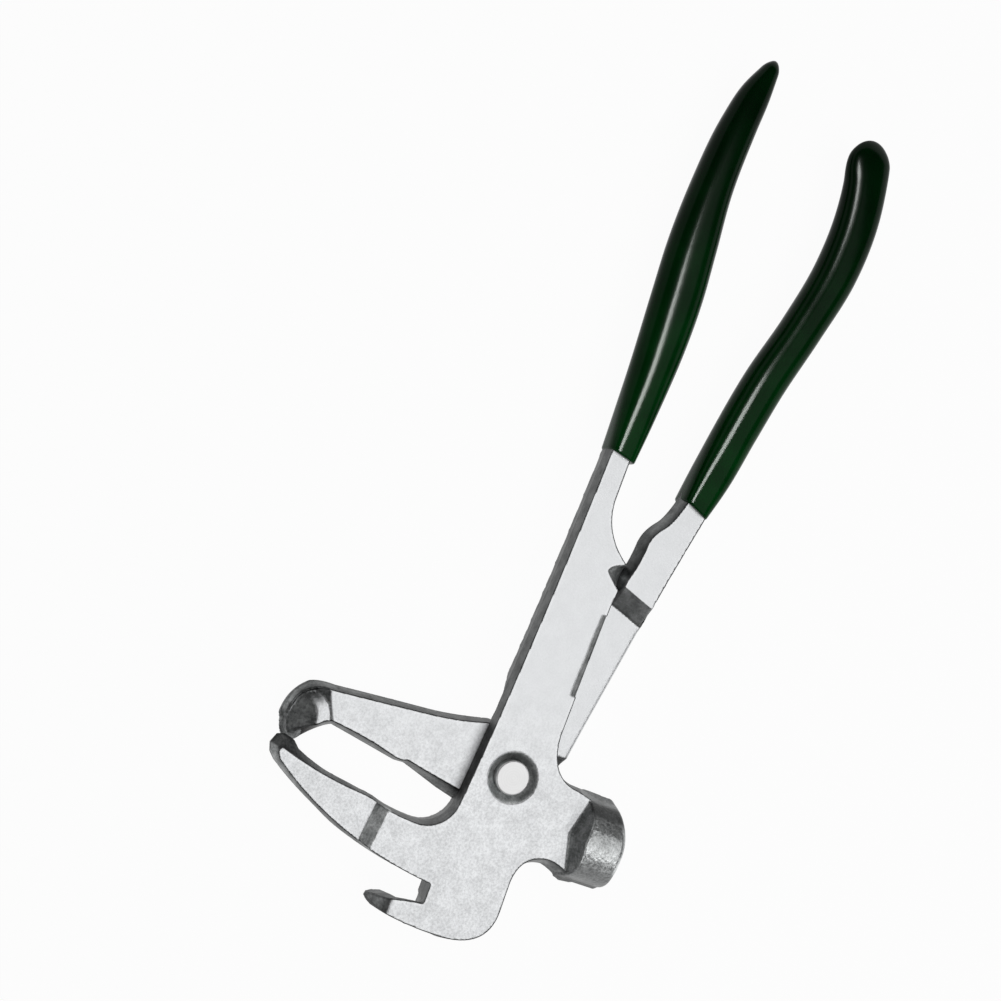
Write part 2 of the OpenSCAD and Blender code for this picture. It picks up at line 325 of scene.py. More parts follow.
# %% Front half, hammer
EDGE_R, CRISP_R = 0.03, 0.05
HAMMER_X, HAMMER_R, HAMMER_END, HAMMER_ROUND = -9.7, 11.5, -37.5, 0.8
FLANK, FLANK_LEAN, FLANK_ROUND, FLANK_SCALE = 12.5, 0.72, 0.3, 0.81
DOME_UP, DOME_HANDLE_SIDE, DOME_HOOK_SIDE, DOME_SCALE = 0.022, 0.04, 0.013, 0.85
SHOULDER_Y, V_POINT, V_SLOPE, SHOULDER_RISE, SHOULDER_SCALE = -20.7, -9.1, 0.27, 0.41, 0.9


def hammer(x, y, z):
    """A bar along Y with flanks, cut at its end by a dome and behind by the shoulder's two planes."""
    across, up = np.abs(x - HAMMER_X), np.abs(z - MID)
    radial = np.hypot(across, up)
    flank = cut((across + FLANK_LEAN * up - FLANK) * FLANK_SCALE, up - MID, FLANK_ROUND)
    bar = join(radial - HAMMER_R, flank, FLANK_ROUND)
    dome = DOME_UP * up**2 + np.where(x > HAMMER_X, DOME_HANDLE_SIDE, DOME_HOOK_SIDE) * across**2
    end = (HAMMER_END + dome - y) * DOME_SCALE
    rise = V_SLOPE * np.abs(x - V_POINT) + SHOULDER_RISE * (up - MID)
    shoulder = (y - SHOULDER_Y + rise) * SHOULDER_SCALE
    return cut(cut(bar, end, HAMMER_ROUND), shoulder, CRISP_R)


# %% Room for the rear half
SWEEP_ROOM, ROOM_ROUND = 0.3, 0.1
ARM_SIDE, ARM_SIDE_LEAN = -8.9, 0.68
LEVER_SHOULDER, LEVER_SHOULDER_LEAN = ((25, 9.4), (0.55, 0.835)), 0.5
TURNED_EDGE = ((-3.3, -15.2), (0.72, 0.70))


def swept_room(x, y, z):
    """Where the rear half moves under the front one: the boss's circle and the wedge right of it,
    whose sides lean as the arm's inner wall and the lever's shoulder do."""
    boss = np.hypot(x, y) - BOSS_R - SWEEP_ROOM
    arm_side = -(x - ARM_SIDE + ARM_SIDE_LEAN * (MID - z))
    shoulder = past(x, y, LEVER_SHOULDER) + LEVER_SHOULDER_LEAN * z * ease(y, 5, 9)
    turned_edge = -past(x, y, TURNED_EDGE)
    return np.minimum(boss, np.maximum(np.maximum(arm_side, shoulder), turned_edge))


# %% Front half, whole
# The jaw's ramp, the hook's bend and the ground back of its prong, the ground strip under the lever's
# edge, the drafts, and the joint with the hammer, the bore, the sink and the jaw's tip
JAW_RUN, RAMP_LOW, RAMP_HIGH, JAW_STEP = ((0, 0), (0.103, 0.995)), 27.15, 30.9, 1.5
HOOK_BEND, HOOK_CURVE = 19.0, 0.18
PRONG_EDGE, PRONG_X, PRONG_LEAN, PRONG_SCALE = 7.4, -39.5, 1.25, 0.6
PRONG_ROOT, PRONG_TIP, PRONG_FALL = 12.2, 18.5, 1.8
GROUND_FROM, GROUND_TO, GROUND_Y = 26.2, 49.7, -6.9
GROUND_TURN, GROUND_SLOPE, GROUND_SCALE = 0.03, 0.5, 0.9
SIDE_DRAFT, HEAD_DRAFT, SLOT_DRAFT, WALL_SCALE = 0.45, 1.2, 0.1, 0.97
HAMMER_FILLET, FRONT_BORE_ROOM, SINK_SCALE, TIP_SCALE = 0.5, 0.02, 0.72, 0.68
tip_slope = plane((-11.6, 62.6, 7.5), (-13.0, 57.6, 7.5), (-8.6, 61.8, 4.3))


def on_jaw(x, y):
    """True on the long jaw."""
    return (x < -8) & (y > 20)


def front_half(x, y, z):
    """Distance out of the front half, in millimetres. The plan's distance goes from the face's
    outline to the mid plane's with the depth, and the thickness, hook, tip, hammer, ground strip,
    room for the rear half, bore and sink are cut from it or joined to it in turn."""
    up = np.abs(z - MID)
    ramp = np.clip((past(x, y, JAW_RUN) - RAMP_LOW) / (RAMP_HIGH - RAMP_LOW), 0, 1)
    half_t = MID - np.where(on_jaw(x, y), JAW_STEP * ramp, 0)
    inward = np.clip(1 - up / half_t, 0, 1)
    head = ease(-y, -9, -3) * ease(-x, 8, 14)
    slot = ease(-x, 32.2, 33.2) * ease(y, 7.5, 10) * (1 - ease(-x, 41.5, 42.5))
    draft = SIDE_DRAFT + (HEAD_DRAFT - SIDE_DRAFT) * head
    draft = np.where(on_jaw(x, y), draft * (1 - ease(y, 40, 50)), draft)
    draft = draft + (SLOT_DRAFT - draft) * slot
    plan = face_map.at(x, y) * (1 - inward) + mid_map.at(x, y) * inward
    body = cut((plan - draft * inward) * WALL_SCALE, up - half_t, EDGE_R)
    bend = np.maximum(y - HOOK_BEND, 0)
    hook = (z - TOP + HOOK_CURVE * bend**2) / np.hypot(1, 2 * HOOK_CURVE * bend)
    body = np.where((x < -37) & (y > 15), cut(body, hook, EDGE_R), body)
    root_or_tip = np.maximum(PRONG_ROOT - y, 0) + np.maximum(y - PRONG_TIP, 0)
    behind = (PRONG_EDGE + PRONG_LEAN * (x - PRONG_X) - PRONG_FALL * root_or_tip - z) * PRONG_SCALE
    body = np.where((x < -38) & (y > 11), cut(body, behind, EDGE_R), body)
    tip = (z - tip_slope(x, y)) * TIP_SCALE
    body = np.where((x < -6) & (y > 50), cut(body, tip, EDGE_R), body)
    body = join(body, hammer(x, y, z), HAMMER_FILLET)
    fall = GROUND_SLOPE * (y - GROUND_Y + GROUND_TURN * (x - GROUND_FROM))
    strip = np.maximum(np.maximum(GROUND_FROM - x, x - GROUND_TO), (TOP + fall - z) * GROUND_SCALE)
    body = cut(body, -strip, CRISP_R)
    room = np.maximum(swept_room(x, y, z), z - (MID + LAP_GAP / 2))
    body = cut(body, -room, ROOM_ROUND)
    bore = np.hypot(x, y) - PIN_R - FRONT_BORE_ROOM
    sink = (np.hypot(x, y) - SINK_R + (TOP - z) * (SINK_R - PIN_R) / SINK_DEPTH) * SINK_SCALE
    return cut(body, -np.minimum(bore, np.maximum(sink, TOP - SINK_DEPTH - z)), EDGE_R)


# %% [markdown]
# ## The rear half
# The thin part's walls lean out from the lap to the back. The arm ends in a claw. Behind a small
# sloping step lie a narrow facet and a longer slope down to the cutting tip, and a low ridge of the
# forging is left round them on the outside.

# %% Rear half, claw
THIN_TOP = MID - LAP_GAP / 2
facet = plane((-1.6, 51.3, 4.1), (-3.4, 54.9, 4.3), (5.0, 58.6, 2.6))
claw_slope = plane((-3.4, 54.9, 4.3), (4.0, 60.3, 2.6), (-8.9, 61.5, 1.0))
ridge_top = plane((5.8, 55, 4.4), (3, 61.8, 2.8), (-8, 61.6, 1.3))
# Where the arm ends, the way along the facet and the claw's outer edge, then how the bite, the step,
# the ridge and the web's end fall off
ARM_END = ((-1.4, 51), (-0.426, 0.905))
FACET_RUN, FACET_LENGTH = ((-3.4, 54.9), (0.81, 0.59)), 9.2
OUTER_EDGE = ((-8, 60.3), (0.78, 0.625))
CLAW_BULGE, BULGE_END, VALLEY, ARM_STEP, CLAW_LOWEST = 3.4, 0.8, 0.3, 0.5, 0.6
RIDGE_WIDTH, RIDGE_SIDE_FALL, RIDGE_LENGTH, RIDGE_END_FALL = 0.45, 1.6, 6.5, 0.3
WEB_END_X, WEB_END_FALL, WEB_LOWEST = 9.2, 1.2, 1


def claw_height(x, y, outside):
    """Height of the top of the arm and the claw, where outside is the distance out of the outline.
    The claw is the lower of the facet and the slope, but no lower than the step and the ridge."""
    past_arm = past(x, y, ARM_END)
    across = np.clip(past(x, y, FACET_RUN) / FACET_LENGTH, 0, 1.3)
    a, b = facet(x, y) + CLAW_BULGE * across * (BULGE_END - across), claw_slope(x, y)
    bite = np.minimum(a, b) - np.maximum(VALLEY - np.abs(a - b), 0) ** 2 / 2
    step = THIN_TOP - ARM_STEP * past_arm
    side_fall = RIDGE_SIDE_FALL * np.maximum(-outside - RIDGE_WIDTH, 0)
    end_fall = RIDGE_END_FALL * np.maximum(RIDGE_LENGTH - past(x, y, OUTER_EDGE), 0)
    ridge = ridge_top(x, y) - side_fall - end_fall
    height = np.maximum(np.maximum(bite, step), ridge)
    web_end = THIN_TOP - WEB_END_FALL * np.maximum(WEB_END_X - x, 0) * ease(-y, 11, 12)
    return np.where(past_arm > 0, np.clip(height, CLAW_LOWEST, THIN_TOP), np.maximum(web_end, WEB_LOWEST))


# %% Rear half, whole
# The lever's ramp, the thin part, the thick part and the pin's bore and head
LEVER_RUN, THICK_RAMP, THICK_RAMP_SCALE = ((0, 0), (0.952, -0.308)), (54.2, 59.8), 0.78
WEB_ROUND, BACK_ROUND, THIN_DRAFT, THIN_SCALE = 0.9, 0.4, 0.3, 0.93
UNDER_DRAFT, INNER_DRAFT, THICK_SCALE = 0.9, 0.7, 0.95
REAR_BORE_ROOM, HEAD_ROOM = 0.05, 0.2


def rear_half(x, y, z):
    """Distance out of the rear half, in millimetres: the thin part, whose plan goes from the lap's
    outline to the back's with the depth, joined to the thick part past its ramp, less the pin."""
    boss = np.hypot(x, y) - BOSS_R
    lap, back = np.minimum(lap_map.at(x, y), boss), np.minimum(back_map.at(x, y), boss)
    height = claw_height(x, y, lap)
    down = np.clip(1 - z / height, 0, 1)
    thin_wall = (lap * (1 - down) + back * down - THIN_DRAFT * down) * THIN_SCALE
    low_edge = ease(-y, 10.5, 12.5) * ease(x, 5, 8) * (1 - ease(x, 48, 52))
    top_round = EDGE_R + (WEB_ROUND - EDGE_R) * low_edge
    thin = cut(cut(thin_wall, (z - height) * THIN_SCALE, top_round), -z, BACK_ROUND)
    up_ramp = (past(x, y, LEVER_RUN) - THICK_RAMP[0]) * MID / (THICK_RAMP[1] - THICK_RAMP[0])
    ramp = (z - (MID + up_ramp)) * THICK_RAMP_SCALE
    draft = UNDER_DRAFT + INNER_DRAFT * ease(y + 0.18 * x, -6, -2)
    up = np.abs(z - MID)
    thick_wall = (thick_map.at(x, y) - draft * np.clip(1 - up / MID, 0, 1)) * THICK_SCALE
    thick_part = cut(cut(thick_wall, ramp, EDGE_R), up - MID, EDGE_R)
    body = np.minimum(thin, thick_part)
    bore = np.hypot(x, y) - PIN_R - REAR_BORE_ROOM
    sink = (np.hypot(x, y) - SINK_R - HEAD_ROOM + z * (SINK_R - PIN_R) / SINK_DEPTH) * SINK_SCALE
    return cut(body, -np.minimum(bore, np.maximum(sink, z - SINK_DEPTH)), EDGE_R)


# %% [markdown]
# ## From a field to a mesh
# The field is sampled on a grid. Each cell that the skin passes through gets one point, and each
# grid edge that crosses the skin gets a square between its four cells. A cell's point is where the
# tangent planes at its crossings come closest to meeting: on a flat face that is any place on it,
# but at an edge or a corner it is on the edge itself, so the forging's lines come out crisp. A weak
# pull to the crossings' mean settles the place on a flat face.

# %% Skin of a field
CELL = 0.4
PULL, REACH = 0.03, 0.7
NEAR, ROUNDS = 0.03, 4
SUMS = 19


def slope(field, p):
    """Gradient of the field at the points, by central differences."""
    found = []
    for d in NEAR * np.eye(3):
        found.append((field(*(p + d).T) - field(*(p - d).T)) / (2 * NEAR))
    return np.column_stack(found)


def crossing(field, start, step):
    """Points where the field is zero on the way from start to start + step, by false position."""
    low, high = np.zeros(len(start)), np.ones(len(start))
    f_low, f_high = field(*start.T), field(*(start + step).T)
    for _ in range(ROUNDS):
        t = np.clip(low + (high - low) * f_low / (f_low - f_high), low, high)
        f = field(*(start + t[:, None] * step).T)
        same = (f < 0) == (f_low < 0)
        low, f_low = np.where(same, t, low), np.where(same, f, f_low / 2)
        high, f_high = np.where(same, high, t), np.where(same, f_high / 2, f)
    return start + (0.5 * (low + high))[:, None] * step


def skin(field, low, high, cell):
    """Points, squares and normals of the surface where field is zero, within a box. The sums for a
    cell are the count of its crossings, their places p, normals n, products n n^T and n (n . p)."""
    low = np.array(low, float)
    count = np.ceil((np.array(high) - low) / cell).astype(int) + 1
    x, y, z = (low[a] + cell * np.arange(count[a]) for a in range(3))
    inside = np.broadcast_to(field(x[:, None, None], y[None, :, None], z[None, None, :]) < 0, count)
    corners = sum(
        inside[i : i + count[0] - 1, j : j + count[1] - 1, k : k + count[2] - 1].astype(np.uint8)
        for i in (0, 1)
        for j in (0, 1)
        for k in (0, 1)
    )
    mixed = (corners > 0) & (corners < 8)
    number = np.full(mixed.shape, -1, np.int64)
    number[mixed] = np.arange(mixed.sum())
    total = np.zeros((mixed.sum(), SUMS))
    squares = []
    for a in range(3):
        b, c = (a + 1) % 3, (a + 2) % 3
        here = np.moveaxis(inside, (a, b, c), (0, 1, 2))
        ids = np.moveaxis(number, (a, b, c), (0, 1, 2))
        i, j, k = np.nonzero(here[:-1, 1:-1, 1:-1] != here[1:, 1:-1, 1:-1])
        ring = np.column_stack([ids[i, j, k], ids[i, j + 1, k], ids[i, j + 1, k + 1], ids[i, j, k + 1]])
        outward = here[i, j + 1, k + 1]
        squares.append(np.where(outward[:, None], ring, ring[:, ::-1]))
        node = np.empty((len(i), 3))
        node[:, a], node[:, b], node[:, c] = i, j + 1, k + 1
        p = crossing(field, low + cell * node, cell * np.eye(3)[a])
        n = slope(field, p)
        n /= np.maximum(np.linalg.norm(n, axis=1), 1e-9)[:, None]
        products = (n[:, :, None] * n[:, None, :]).reshape(-1, 9)
        depth = np.einsum("ij,ij->i", n, p)[:, None]
        sums = np.column_stack([np.ones(len(p)), p, n, products, n * depth])
        for corner in ring.T:
            for column in range(SUMS):
                total[:, column] += np.bincount(corner, sums[:, column], len(total))
    hits = total[:, :1]
    mean = total[:, 1:4] / hits
    planes = total[:, 7:16].reshape(-1, 3, 3)
    lack = total[:, 16:19] - np.einsum("nij,nj->ni", planes, mean)
    move = np.linalg.solve(planes + PULL * hits[:, :, None] * np.eye(3), lack[:, :, None])[:, :, 0]
    points = mean + np.clip(move, -REACH * cell, REACH * cell)
    normals = total[:, 4:7] / np.maximum(np.linalg.norm(total[:, 4:7], axis=1), 1e-9)[:, None]
    return points, np.vstack(squares), normals


# %% [markdown]
# A new piece is a mesh of those points in metres. Numbers that the finish needs ride along as
# attributes of the points.

# %% Put a mesh in the scene


def put_piece(name, points_mm, faces, body, nodes, slot, normals=None, **attributes):
    """Makes a piece from points in millimetres, lets it ride on a body and stand for its CAD nodes."""
    mesh = bpy.data.meshes.new(name)
    mesh.from_pydata(points_mm * MM, [], faces)
    for key, values in attributes.items():
        mesh.attributes.new(key, "FLOAT", "POINT").data.foreach_set("value", values.astype(np.float32))
    mesh.shade_smooth()
    if normals is not None:
        mesh.normals_split_custom_set_from_vertices(normals)
    piece = bpy.data.objects.new(name, mesh)
    bpy.context.scene.collection.objects.link(piece)
    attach(piece, body)
    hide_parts(*nodes)
    print(name, len(mesh.vertices), "points", len(mesh.polygons), "faces")
    return piece


def flatness(normals, squares):
    """1 where a point lies flat, or shares a square with one that does, and 0 on walls and slopes."""
    flat = ease(np.abs(normals[:, 2]), 0.94, 0.985)
    spread = flat.copy()
    np.maximum.at(spread, squares.ravel(), np.repeat(flat[squares].max(1), 4))
    return spread


# %% [markdown]
# ## Making the halves
# The finish has to know what it is on, so each point carries five numbers. flat is 1 on a bright
# face, sloping is how far inside a ramp the point is, outside is its distance out of the face's
# outline, and hammer is 1 on the bar. The fifth number is painted light and shade: how much lighter
# or darker a wall's grey is painted where light falls on it or shade lies. 1 is a plain drafted wall,
# and bright faces take no notice of it. The ramps, the notch and the claw are painted lighter than
# the walls, and the bar's side is painted as a lit round bar, from a dimmer grey over a highlight
# band to a shaded band.

# %% Skin of the front half
FRONT_LOW, FRONT_HIGH = (-48.5, -39.5, -8), (FRONT_RIM + INTO_GRIP + 1, 65.5, 17)

points, squares, normals = skin(front_half, FRONT_LOW, FRONT_HIGH, CELL)
x, y, z = points.T
steepness = 1 - np.abs(normals[:, 2])
print("the front half's skin has", len(points), "points")

# %% Painted light and shade on the hammer
SHOULDER_TONE, TURNED_SHOULDER_TONE, BAR_TONE, HIGHLIGHT_BAND_TONE = 0.35, 0.17, 0.05, 0.95

# The bar and its end, less the corners of the faces beside it, and the two planes behind it
off_axis = np.hypot(x - HAMMER_X, z - MID)
beside = (np.abs(np.abs(z - MID) - MID) < 0.3) * (steepness < 0.1)
on_bar = ease(-y, 20, 21) * ease(off_axis, HAMMER_R - 0.8, HAMMER_R - 0.3) * (1 - beside)
on_hammer = np.maximum(on_bar, ease(-y, 28, 29))
on_shoulder = ease(-y, 17.5, 18.5) * ease(np.abs(z - MID), MID + 0.05, MID + 0.3) * (1 - on_hammer)
# The shoulder's two planes are painted lighter than a wall, the one turned to the handles less so: painted
# light and shade by the way each plane faces.
turned = ease(normals[:, 0], -0.1, 0.1)
shoulder_light_and_shade = on_shoulder * (SHOULDER_TONE + (TURNED_SHOULDER_TONE - SHOULDER_TONE) * turned)

# The bar's side, from the hook's side on the left to the lever's on the right, is painted with the
# light and shade of a lit round bar: a dimmer grey on the hook's side, a highlight band, then a
# shaded band and a less shaded flank on the lever's side
right = x - HAMMER_X
painted_highlight_band = ease(-right, -1.5, 3) * (1 - ease(-right, 4, 6))
painted_shade_band = 0.9 * ease(right, 5, 8.5) - 0.33 * ease(right, 10.2, 11)
painted_grey_side = 0.5 * ease(-right, 5, 7) + 0.25 * ease(-right, 10.2, 10.8)
bar_light_and_shade = on_bar * (BAR_TONE + HIGHLIGHT_BAND_TONE * painted_highlight_band - painted_shade_band - painted_grey_side)
print(int(np.sum(on_hammer > 0.5)), "points are on the hammer")

# %% Painted light on the notch, the sink round the rivet and the ground strip
NOTCH_TONE, SINK_TONE, FAR_SINK_TONE, STRIP_TONE = 3.2, 1.0, 2.5, 0.5

# The notch's walls are painted lighter, and the sink round the rivet is painted lighter all round and most on
# its far side.
in_notch = ease(x, 57, 58) * (1 - ease(x, 64, 65)) * ease(-y, 4.8, 5.2) * (steepness > 0.1)
far_side = ease(y - x, -4, 6)
sink_painted_light = (np.hypot(x, y) < SINK_R + 0.2) * (SINK_TONE + (FAR_SINK_TONE - SINK_TONE) * far_side)
on_strip = ease(x, 25.5, 26.2) * (1 - ease(x, 49.7, 50.4)) * ease(-y, 6, 6.5) * (steepness > 0.05)
small_painted_light = NOTCH_TONE * in_notch + sink_painted_light + STRIP_TONE * on_strip
print("the notch, sink and strip add up to", round(float(small_painted_light.max()), 2))

# %% Painted light and shade on the jaw's ramp and tip
RAMP_TONE, TIP_TONE, INNER_TIP_TONE = 2.3, 0.6, -0.5

run = past(x, y, JAW_RUN)
into_ramp = np.where(on_jaw(x, y), np.minimum(run - RAMP_LOW, RAMP_HIGH - run), -9)
on_face = flatness(normals, squares) * (1 - np.maximum(on_hammer, on_shoulder))
# The ramp is painted lighter than a wall, and the tip is painted lighter on its outer side and with shade on
# its inner side, which is turned to the gap.
on_ramp = ease(into_ramp, -1, -0.5) * ease(np.abs(z - MID), 2.8, 3)
inner_side = ease(x + 12.2 - 0.28 * (y - 57.6), 0, 0.6) * ease(y, 57, 58)
inner = np.maximum(ease(normals[:, 0], -0.1, 0.2), inner_side)
tip_light_and_shade = ease(y, 50, 56) * (TIP_TONE + (INNER_TIP_TONE - TIP_TONE) * inner)
print(int(np.sum(on_ramp > 0.5)), "points are on the jaw's ramp")

# %% Put in the front half
front_piece = put_piece(
    "front_half_forging", points, squares, "front", ["front_half"], "steel", normals,
    flat=np.maximum(on_face, on_ramp), sloping=into_ramp, outside=face_map.at(x, y), hammer=on_hammer,
    tone=1 + shoulder_light_and_shade + bar_light_and_shade + RAMP_TONE * on_ramp + tip_light_and_shade + small_painted_light,
)

# %% [markdown]
# The rear half goes the same way. Its bright face ends at the lap's outline on top, a little inside
# it where the web's edge is rounded off, and at the back's outline underneath. Over that rounding
# the face's bright colour is carried on as a painted highlight.

# %% Skin of the rear half
REAR_LOW, REAR_HIGH = (-16.5, -30.5, -1), (REAR_RIM + INTO_GRIP + 1, 66, 10)
WEB_EDGE = 0.9

points, squares, normals = skin(rear_half, REAR_LOW, REAR_HIGH, CELL)
x, y, z = points.T
# A painted highlight: the web's rounded edge takes the face's bright colour.
web_edge_highlight = ease(-y, 10.5, 12.5) * ease(x, 8, 11) * (1 - ease(x, 50, 53))
thick_line, boss = thick_map.at(x, y), np.hypot(x, y) - BOSS_R
top_line = np.minimum(lap_map.at(x, y), thick_line) - WEB_EDGE * web_edge_highlight
back_line = np.minimum(np.minimum(back_map.at(x, y), thick_line), boss)
outside = np.where(z < 1, back_line, top_line)
print("the rear half's skin has", len(points), "points")

# %% Painted light and shade on the rear half
REAR_RAMP_TONE, CLAW_TONE, CLAW_FACE_TONE, UNDER_CLAW_SHADE = 0.35, 1.4, 0.9, 0.05

# The ramp between the thin and the thick part, on the top side only, which is painted lighter than a wall
run = past(x, y, LEVER_RUN)
into_ramp = np.where(z > 2, np.minimum(run - THICK_RAMP[0], THICK_RAMP[1] - run), -9)
on_ramp = ease(into_ramp, -1, -0.5) * ease(z, MID - 0.3, MID - 0.1) * ease(normals[:, 2], 0.5, 0.6)

# The claw: painted light on its walls and its bite, painted shade on the dark side under the cutting
# tip, and the ridge round it
upward_face = ease(normals[:, 2], 0.5, 0.7)
claw_painted_light = ease(y, 54, 57) * ease(-x, -3, 1) * (CLAW_TONE + (CLAW_FACE_TONE - CLAW_TONE) * upward_face)
shade_under_claw = ease(-normals[:, 1], 0.1, 0.2) * ease(y, 53, 55) * (normals[:, 2] < 0.7) * (x > -9.3)
ridge_sides = np.maximum(ease(past(x, y, OUTER_EDGE), 3, 3.5), ease(-x, 3.5, 4))
on_ridge = (past(x, y, ARM_END) > 0.2) * ease(outside, -2.0, -1.6) * ridge_sides
print(int(np.sum(on_ridge > 0.5)), "points are on the ridge round the claw")

# %% Put in the rear half
on_face = np.maximum(flatness(normals, squares) * (1 - on_ridge), web_edge_highlight * (z > 2.5))
rear_piece = put_piece(
    "rear_half_forging", points, squares, "rear", ["rear_half"], "steel", normals,
    flat=np.maximum(on_face, on_ramp), sloping=into_ramp, outside=outside, hammer=0 * x,
    tone=(1 + REAR_RAMP_TONE * on_ramp + claw_painted_light) * (1 - (1 - UNDER_CLAW_SHADE) * shade_under_claw),
)

# %% [markdown]
# ## The pin
# A rivet, turned round its axis: a flat end flush with the front, a straight shank and a
# countersunk head at the back. A turned part is a profile carried round a circle.

# %% Turn the pin
AROUND = 96


def tube_faces(rings, around):
    """Squares between the rings of a tube whose points come ring by ring, and a cap on each end."""
    i, j = (v.ravel() for v in np.meshgrid(np.arange(rings - 1), np.arange(around), indexing="ij"))
    n = (j + 1) % around
    quads = np.column_stack([i * around + j, i * around + n, (i + 1) * around + n, (i + 1) * around + j])
    caps = [list(range(around))[::-1], list(range((rings - 1) * around, rings * around))]
    return quads.tolist() + caps


def turned(profile):
    """Points of a profile of (radius, height) pairs, at equal angles round the Z axis, and its faces."""
    profile = np.array(profile, float)
    w = np.linspace(0, 2 * np.pi, AROUND, endpoint=False)
    ring = np.stack([np.cos(w), np.sin(w)], 1)
    points = np.concatenate([np.column_stack([r * ring, np.full(AROUND, z)]) for r, z in profile])
    return points, tube_faces(len(profile), AROUND)


pin_profile = [
    (1.0, 0.0), (SINK_R - 0.5, 0.0), (SINK_R - 0.2, 0.06), (SINK_R - 0.1, 0.2), (PIN_R, SINK_DEPTH),
    (PIN_R, TOP - 0.5), (PIN_R - 0.06, TOP - 0.25), (PIN_R - 0.2, TOP - 0.08), (PIN_R - 0.4, TOP - 0.01),
    (PIN_R - 0.6, TOP), (PIN_R - 0.7, TOP), (1.0, TOP),
]
pin_points, pin_faces = turned(pin_profile)
pin = put_piece("rivet", pin_points, pin_faces, "front", ["pivot_pin"], "pin_steel")

# %% [markdown]
# ## The grips
# Each handle is dipped in vinyl, which gives an oval skin that is widest in the palm. The skin is an
# oval carried along the handle's middle line. It is squarer near the rim, where it follows the steel
# inside, with a rounded lip.

# %% Stations along the grips
# Distance along X from the rim, the middle line's Y, and half of the width
FRONT_STATIONS = [
    (0, 2.6, 4.25), (13, 2.2, 5.5), (30, 2.0, 6.7), (48, 2.6, 7.3), (62, 3.6, 7.1), (80, 4.3, 6.1),
    (100, 3.2, 5.3), (110, 1.8, 4.4), (117, 0.3, 2.8), (120.9, -0.6, 1.8),
]
REAR_STATIONS = [
    (0, -23.0, 4.25), (12, -25.5, 5.6), (26, -27.9, 6.1), (41, -30.8, 6.2), (60, -35.8, 6.1),
    (79, -39.8, 6.4), (96, -40.4, 6.5), (106, -39.2, 6.5), (112, -38.0, 6.6), (116, -37.7, 6.0),
    (119.2, -37.6, 5.5),
]


def follow(stations, d):
    """Smooth values between stations: a cubic through them with slopes from their neighbours."""
    s = np.array(stations, float)
    slopes = np.gradient(s[:, 1:], s[:, 0], axis=0)
    i = np.clip(np.searchsorted(s[:, 0], d, side="right") - 1, 0, len(s) - 2)
    gap = (s[i + 1, 0] - s[i, 0])[:, None]
    t = ((d - s[i, 0]) / gap[:, 0])[:, None]
    a, b, m, n = s[i, 1:], s[i + 1, 1:], slopes[i] * gap, slopes[i + 1] * gap
    leaving = (2 * t**3 - 3 * t**2 + 1) * a + (t**3 - 2 * t**2 + t) * m
    return leaving + (3 * t**2 - 2 * t**3) * b + (t**3 - t**2) * n


# %% Sweep a grip
GRIP_RINGS, LIP_RINGS, GRIP_AROUND = 180, 7, 96
RIM_HALF_T, GRIP_HALF_T, TIP_HALF_T, LIP = 6.1, 6.2, 1.3, 0.6
# How far the rim is out of square, the openings left at its two ends for the caps, and how square
# the oval is
RIM_LEAN, RIM_LEAN_TO = 0.18, 0.15
LIP_HOLE, END_HOLE = 1.6, 0.002
ROUNDEST, SQUARER_BY, SQUARE_TO = 2.1, 1.3, 0.24


def swept_grip(stations, rim, tip_round):
    """Ovals with half-axes h and k square to the middle line. A point's offsets are h cos and k sin
    raised to 2/n, where n falls from 3.4 at the rim to 2.1. The ovals shrink by a quarter circle at the
    rim's lip and by a quarter ellipse of length tip_round at the tip."""
    length = stations[-1][0]
    w = np.linspace(0, np.pi / 2, LIP_RINGS)
    along = LIP + (length - LIP) * np.sin(np.linspace(0, np.pi / 2, GRIP_RINGS))[1:]
    d = np.concatenate([[0], LIP * (1 - np.cos(w)), along])
    shrink = np.concatenate([[LIP_HOLE], LIP * (1 - np.sin(w)), 0 * along])
    middle, h = follow(stations, d).T
    t = d / length
    swell = GRIP_HALF_T + (RIM_HALF_T - GRIP_HALF_T) * (1 - ease(t, 0, 0.25))
    thin = np.sqrt(np.maximum(1 - (np.maximum(t - 0.2, 0) / 0.8) ** 4, 0))
    k = TIP_HALF_T + (swell - TIP_HALF_T) * thin
    close = np.sqrt(np.maximum(1 - (np.maximum(d - length + tip_round, 0) / tip_round) ** 2, END_HOLE))
    h, k = (h - shrink) * close, (k - shrink) * close
    lean = np.arctan(follow(stations, d + 0.5)[:, 0] - follow(stations, d - 0.5)[:, 0])
    round_it = np.linspace(0, 2 * np.pi, GRIP_AROUND, endpoint=False)
    power = 2 / (ROUNDEST + SQUARER_BY * np.clip(1 - t / SQUARE_TO, 0, 1) ** 2)[:, None]
    c, s = np.cos(round_it), np.sin(round_it)
    side = h[:, None] * np.sign(c) * np.abs(c) ** power
    rim_lean = RIM_LEAN * (1 - ease(t, 0, RIM_LEAN_TO))
    x = rim + d[:, None] + side * (rim_lean - np.sin(lean))[:, None]
    y = middle[:, None] + side * np.cos(lean)[:, None]
    z = MID - k[:, None] * np.sign(s) * np.abs(s) ** power
    return np.stack([x, y, z], -1).reshape(-1, 3), tube_faces(len(d), GRIP_AROUND)


points, faces = swept_grip(FRONT_STATIONS, FRONT_RIM, 3.5)
front_grip = put_piece("front_grip_skin", points, faces, "front", ["front_grip"], "grip_vinyl")
points, faces = swept_grip(REAR_STATIONS, REAR_RIM, 6.5)
rear_grip = put_piece("rear_grip_skin", points, faces, "rear", ["rear_grip"], "grip_vinyl")

# %% [markdown]
# ## Shader maths
# A finish is a small formula on the surface. Wrapping a socket in a class lets the formula be written
# with + and *, and each operator adds its Math node.

# %% Sockets with operators


